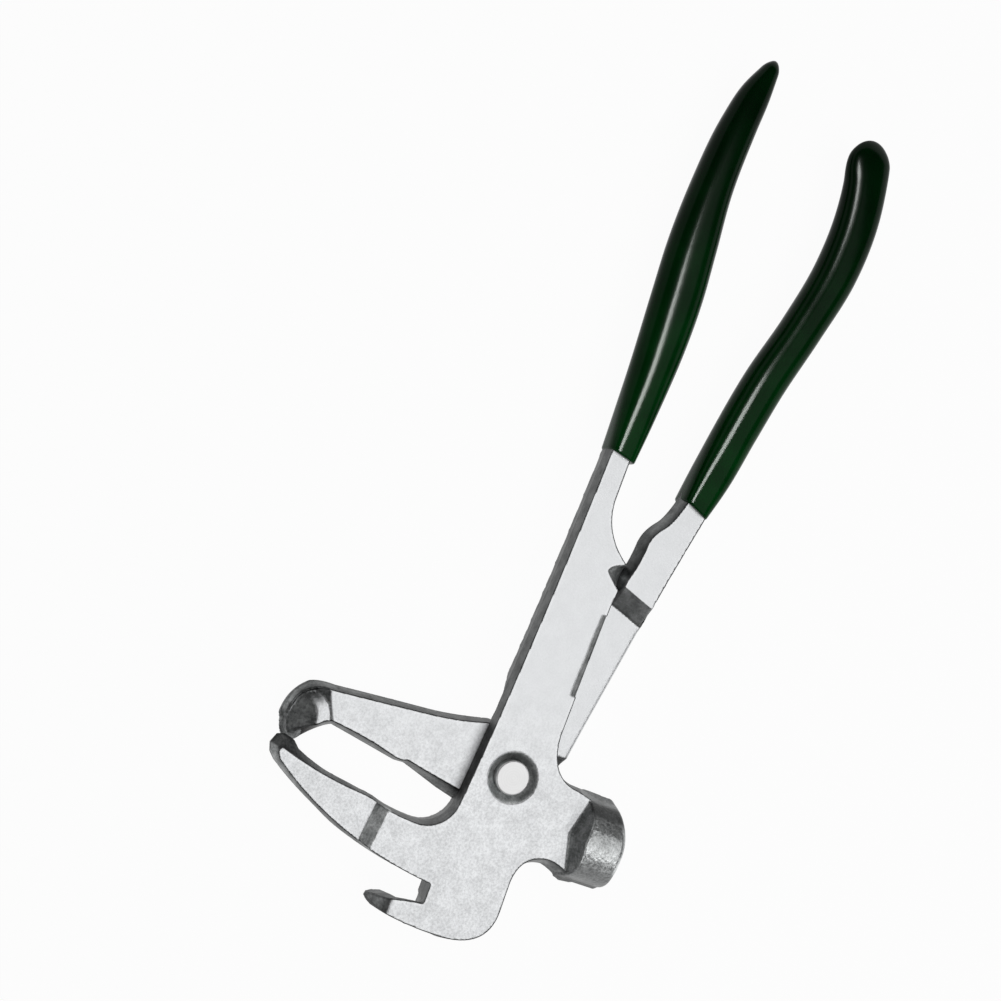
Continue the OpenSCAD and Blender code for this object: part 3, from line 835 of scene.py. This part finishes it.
class Wire:
    """A socket of a material. Arithmetic on it adds Math nodes to the material's tree."""

    def __init__(self, tree, socket):
        self.tree, self.socket = tree, socket

    def node(self, kind, values=(), output=0, **settings):
        """Any other node: its type, its settings, and values or wires for its sockets by name or place."""
        made = self.tree.nodes.new(kind)
        for key, value in settings.items():
            setattr(made, key, value)
        for key, value in dict(values).items():
            if isinstance(value, Wire):
                self.tree.links.new(value.socket, made.inputs[key])
            else:
                made.inputs[key].default_value = value
        return Wire(self.tree, made.outputs[output])

    def maths(self, operation, a, b=0.0):
        """A Math node on two values or wires."""
        return self.node("ShaderNodeMath", {0: a, 1: b}, operation=operation)

    def __add__(self, other):
        return self.maths("ADD", self, other)

    __radd__ = __add__

    def __mul__(self, other):
        return self.maths("MULTIPLY", self, other)

    __rmul__ = __mul__

    def __sub__(self, other):
        return self.maths("SUBTRACT", self, other)

    def __rsub__(self, other):
        return self.maths("SUBTRACT", other, self)

    def __pow__(self, other):
        return self.maths("POWER", self, other)

    def __abs__(self):
        return self.maths("ABSOLUTE", self)

    def ramp(self, start, end, low=0.0, high=1.0):
        """low before start and high after end, eased between."""
        values = {0: self, 1: start, 2: end, 3: low, 4: high}
        return self.node("ShaderNodeMapRange", values, interpolation_type="SMOOTHSTEP")

    def attribute(self, name):
        """A number that the piece's points carry."""
        return self.node("ShaderNodeAttribute", attribute_name=name, output=2)

    def part(self, name):
        """X, Y or Z of a vector."""
        return self.node("ShaderNodeSeparateXYZ", {0: self}, output="XYZ".index(name))

    def colour_mix(self, a, b):
        """Colour a where this is 0 and colour b where it is 1."""
        return self.node("ShaderNodeMix", {0: self, 6: a, 7: b}, output=2, data_type="RGBA")

    def noise(self, per_metre, detail=3.0, rough=0.55):
        """Cloudy noise on this vector, from 0 to 1."""
        values = {"Vector": self, "Scale": per_metre, "Detail": detail, "Roughness": rough}
        return self.node("ShaderNodeTexNoise", values)

    def grey(self):
        """The grey colour whose level this is."""
        return self.node("ShaderNodeCombineColor", {0: self, 1: self, 2: self})


def new_material(name):
    """A material with a Principled shader. Gives the material, a Wire to start from and the shader."""
    material = bpy.data.materials.new(name)
    material.use_nodes = True
    tree = material.node_tree
    shader = tree.nodes["Principled BSDF"]
    place = Wire(tree, tree.nodes.new("ShaderNodeTexCoord").outputs["Object"])
    return material, place, shader


def feed(shader, **wires):
    """Links wires to the shader's sockets; an underscore in a name stands for a space."""
    for name, wire in wires.items():
        wire.tree.links.new(wire.socket, shader.inputs[name.replace("_", " ")])


# %% [markdown]
# ## Steel
# The flat faces are bright and faintly mottled, with a painted highlight, a thin brighter line, along
# their edges. The drafted walls and the ramps are darker, partly as a duller forged skin and partly as
# painted shade, with a painted shadow, a dark line, just under the face's edge, and the flash line runs
# round the walls at the mid plane. The hammer's bar has a grey of its own and a coarser grain. The
# painted light and shade of each wall comes with its points.

# %% Steel finish
# The walls' greys stand partly for a duller forged skin and partly for painted shade.
WALL_DARK, WALL_LIGHT = (0.13, 0.135, 0.135, 1), (0.21, 0.215, 0.215, 1)
FACE_STEEL, EDGE_HIGHLIGHT_STEEL = (0.66, 0.67, 0.68, 1), (0.76, 0.77, 0.78, 1)
FLASH_STEEL, HAMMER_STEEL = (0.07, 0.07, 0.07, 1), (0.38, 0.39, 0.39, 1)


def steel():
    """Bright on the faces and grey on the walls, times the walls' painted light and shade and a mottle."""
    material, place, shader = new_material("plated_steel")
    flat, outside, sloping = (place.attribute(name) for name in ("flat", "outside", "sloping"))
    on_hammer, tone = place.attribute("hammer"), place.attribute("tone")
    bright = flat * outside.ramp(-0.32, -0.1, 1.0, 0.0) * sloping.ramp(-0.1, 0.1, 1.0, 0.0)
    # A painted highlight: a thin brighter line just inside each face's edge.
    rim = bright * outside.ramp(-1.0, -0.6)
    head = place.part("X").ramp(-0.01, 0.03, 1.0, 0.0)
    speck = place.noise(1500, 4.0, 0.65)
    cloud = place.noise(260, 3.0)
    coarse = place.noise(600, 2.0)
    off_middle = abs(place.part("Z") - MID * MM)
    flash = off_middle.ramp(0.0002, 0.0006, 1.0, 0.0) * (1 - bright)
    wall = cloud.ramp(0.3, 0.7).colour_mix(WALL_DARK, WALL_LIGHT)
    colour = bright.colour_mix(wall, FACE_STEEL)
    colour = (rim * 0.4).colour_mix(colour, EDGE_HIGHLIGHT_STEEL)
    colour = (flash * 0.5).colour_mix(colour, FLASH_STEEL)
    colour = on_hammer.colour_mix(colour, HAMMER_STEEL)
    uneven = speck.ramp(0.30, 0.70) - 0.5 + (cloud.ramp(0.3, 0.7) - 0.5) * 0.4
    mottle = uneven * (head * 0.26 + (1 - bright) * 0.25 + 0.08) + 0.97
    # A painted shadow: a dark line on the wall just under the face's edge.
    shade_under_edge = outside.ramp(-0.5, -0.3) * outside.ramp(0.15, 0.9, 1.0, 0.0)
    shade_under_edge = shade_under_edge * (1 - bright) * (1 - on_hammer)
    level = ((tone - 1) * (1 - bright) + 1) * mottle * (1 - shade_under_edge * 0.4)
    times = {0: 1.0, 6: colour, 7: level.grey()}
    colour = place.node("ShaderNodeMix", times, output=2, data_type="RGBA", blend_type="MULTIPLY")
    roughness = speck * 0.14 + 0.34 + (1 - bright) * 0.04 - on_hammer * 0.10
    grain = speck * 0.7 + cloud * 0.3 + on_hammer * coarse * 3.0
    bump = place.node("ShaderNodeBump", {"Height": grain, "Strength": 0.3, "Distance": 0.00025})
    feed(shader, Base_Color=colour, Roughness=roughness, Normal=bump)
    shader.inputs["Metallic"].default_value = 1.0
    return material


steel_material = steel()
for piece in (front_piece, rear_piece):
    piece.data.materials.append(steel_material)

# %% [markdown]
# The rivet is the same steel, ground flush. Its end is more even than the faces, with the faint rings
# of the grinding.

# %% Rivet finish
RINGS_PER_METRE, RIVET_LEVEL = 9000.0, 0.61


def ground_steel():
    """An even grey with fine rings, a sine of the distance from the Z axis, in its level and bump."""
    material, place, shader = new_material("ground_rivet")
    x, y = place.part("X"), place.part("Y")
    radius = (x * x + y * y) ** 0.5
    rings = place.maths("SINE", radius * RINGS_PER_METRE)
    speck = place.noise(1300, 3.0)
    colour = (speck * 0.05 + rings * 0.01 + RIVET_LEVEL).grey()
    bump = place.node("ShaderNodeBump", {"Height": rings * 0.3 + speck, "Strength": 0.1, "Distance": 0.0001})
    feed(shader, Base_Color=colour, Roughness=speck * 0.12 + 0.32, Normal=bump)
    shader.inputs["Metallic"].default_value = 1.0
    return material


pin.data.materials.append(ground_steel())

# %% [markdown]
# ## Vinyl
# Dipped vinyl is a deep green with a glossy skin. It pools a little unevenly, so its gloss waves, and
# its green is deeper towards the tips.

# %% Vinyl finish
TIP_GREENS = ((0.0003, 0.010, 0.0018, 1), (0.0005, 0.016, 0.0028, 1))
RIM_GREENS = ((0.0008, 0.040, 0.0055, 1), (0.0012, 0.060, 0.008, 1))


def vinyl():
    """Two cloudy greens, mixed by the distance along the handle, under a smooth and wavy skin."""
    material, place, shader = new_material("dipped_vinyl")
    cloud = place.noise(90, 3.0)
    fine = place.noise(700, 2.0)
    to_tip = place.part("X").ramp(0.09, 0.20)
    clouded = cloud.ramp(0.3, 0.7)
    colour = to_tip.colour_mix(clouded.colour_mix(*RIM_GREENS), clouded.colour_mix(*TIP_GREENS))
    roughness = fine * 0.02 + cloud * 0.03 + 0.15
    bump = place.node("ShaderNodeBump", {"Height": cloud + fine * 0.05, "Strength": 0.06, "Distance": 0.0006})
    feed(shader, Base_Color=colour, Roughness=roughness, Normal=bump)
    shader.inputs["Specular IOR Level"].default_value = 0.055
    return material


vinyl_material = vinyl()
for piece in (front_grip, rear_grip):
    piece.data.materials.append(vinyl_material)

# %% [markdown]
# ## Floor and light
# The photograph has a plain white ground and broad soft light from above, and a bright streak runs
# along each grip. One large lamp gives the soft light. Each streak is the reflection of a smaller
# lamp, which is linked to its grip alone and makes reflections only, so the rest stays as it was.

# %% Floor
FLOOR_WHITE, FLOOR_SIDE = 0.96, 3.0
FLOOR_Z = cad_low.z - 0.0005


def floor_material():
    """White where the camera or a reflection sees it, mixed with a diffuse white that takes shadows."""
    material, place, shader = new_material("white_ground")
    tree = place.tree
    shader.inputs["Base Color"].default_value = (0.9, 0.9, 0.9, 1)
    shader.inputs["Roughness"].default_value = 0.9
    glow = tree.nodes.new("ShaderNodeEmission")
    glow.inputs["Color"].default_value = (1, 1, 1, 1)
    path = tree.nodes.new("ShaderNodeLightPath")
    seen = Wire(tree, path.outputs["Is Camera Ray"]) + Wire(tree, path.outputs["Is Glossy Ray"])
    mix = tree.nodes.new("ShaderNodeMixShader")
    tree.links.new((seen * FLOOR_WHITE).socket, mix.inputs[0])
    tree.links.new(shader.outputs[0], mix.inputs[1])
    tree.links.new(glow.outputs[0], mix.inputs[2])
    tree.links.new(mix.outputs[0], tree.nodes["Material Output"].inputs[0])
    return material


floor_corners = [(FLOOR_SIDE * a, FLOOR_SIDE * b, FLOOR_Z) for a, b in ((-1, -1), (1, -1), (1, 1), (-1, 1))]
floor_mesh = bpy.data.meshes.new("floor")
floor_mesh.from_pydata(floor_corners, [], [(0, 1, 2, 3)])
floor = bpy.data.objects.new("floor", floor_mesh)
bpy.context.scene.collection.objects.link(floor)
floor_mesh.materials.append(floor_material())

# %% Light
HORIZON, ZENITH, HORIZON_TO_TOP, BACKDROP_TO = 0.019, 0.058, (0.2, 0.9), (0.33, 0.38)


def lamp(name, at, aim, size, power):
    """A rectangular area light at a point, facing another."""
    light = bpy.data.lights.new(name, "AREA")
    light.shape = "RECTANGLE"
    light.size, light.size_y = size
    light.energy = power
    made = bpy.data.objects.new(name, light)
    made.location = at
    made.rotation_mode = "QUATERNION"
    made.rotation_quaternion = (Vector(aim) - Vector(at)).to_track_quat("-Z", "Y")
    bpy.context.scene.collection.objects.link(made)
    return made


def sky():
    """A dim studio, a little brighter overhead. Low down, where the camera and the reflections see
    past the floor, it is as white as the floor."""
    world = bpy.data.worlds.new("studio")
    bpy.context.scene.world = world
    world.use_nodes = True
    tree = world.node_tree
    towards = Wire(tree, tree.nodes.new("ShaderNodeTexCoord").outputs["Generated"])
    grey = towards.part("Z").ramp(*HORIZON_TO_TOP, HORIZON, ZENITH)
    path = tree.nodes.new("ShaderNodeLightPath")
    seen = Wire(tree, path.outputs["Is Camera Ray"]) + Wire(tree, path.outputs["Is Glossy Ray"])
    white = seen * towards.part("Z").ramp(*BACKDROP_TO, 1.0, 0.0)
    level = grey * (1 - white) + white
    tree.nodes["Background"].inputs["Color"].default_value = (1, 1, 1, 1)
    tree.links.new(level.socket, tree.nodes["Background"].inputs["Strength"])


sky()
lamp("overhead", at=(0.02, -0.28, 1.0), aim=(0.08, 0.0, 0.0), size=(1.2, 1.0), power=5.6)
streaks = (
    (front_grip, lamp("streak_front", (0.20, 0.18, 1.0), (0.11, 0, 0), (0.30, 0.36), 35)),
    (rear_grip, lamp("streak_rear", (0.38, 0.50, 0.95), (0.115, -0.025, 0), (0.34, 0.38), 38)),
)
for grip, streak in streaks:
    lit = bpy.data.collections.new("lit_" + grip.name)
    lit.objects.link(grip)
    streak.light_linking.receiver_collection = lit
    streak.visible_diffuse = False
bpy.context.scene.view_settings.view_transform = "Standard"
